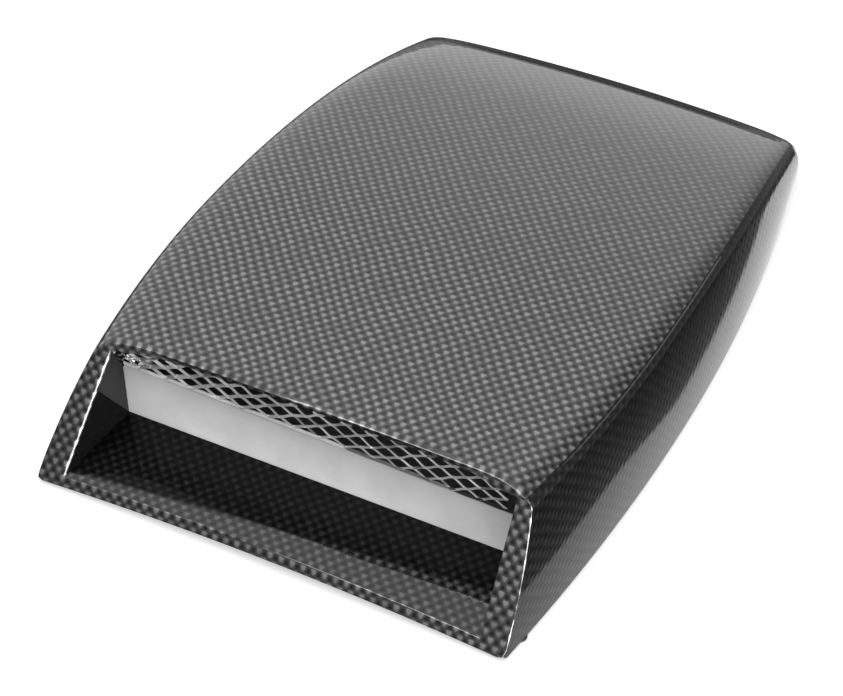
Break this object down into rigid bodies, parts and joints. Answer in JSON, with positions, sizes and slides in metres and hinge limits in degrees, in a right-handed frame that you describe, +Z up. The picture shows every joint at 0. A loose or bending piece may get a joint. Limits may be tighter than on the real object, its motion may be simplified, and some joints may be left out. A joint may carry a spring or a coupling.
{
  "type": "car bonnet vent",
  "caption": "Stick-on bonnet scoop in carbon-look gloss plastic, with a raked mouth, an expanded metal insert and foam mounting tape under its rim.",
  "frame": {"origin": "middle of the base, on the face that the foam tape rests on", "axes": "+X to the right, +Y from the mouth to the rear edge, +Z up, away from the bonnet"},
  "size_m": [0.2404, 0.352, 0.0516],
  "materials": {
    "carbon_gloss": "gloss clear coat over a grey and black plain weave print",
    "expanded_metal": "satin",
    "foam_tape": "matt foam"
  },
  "bodies": {
    "root": {"scoop_shell": "carbon_gloss", "mesh_grille": "expanded_metal", "tape_left": "foam_tape", "tape_right": "foam_tape", "tape_rear": "foam_tape"}
  },
  "joints": []
}
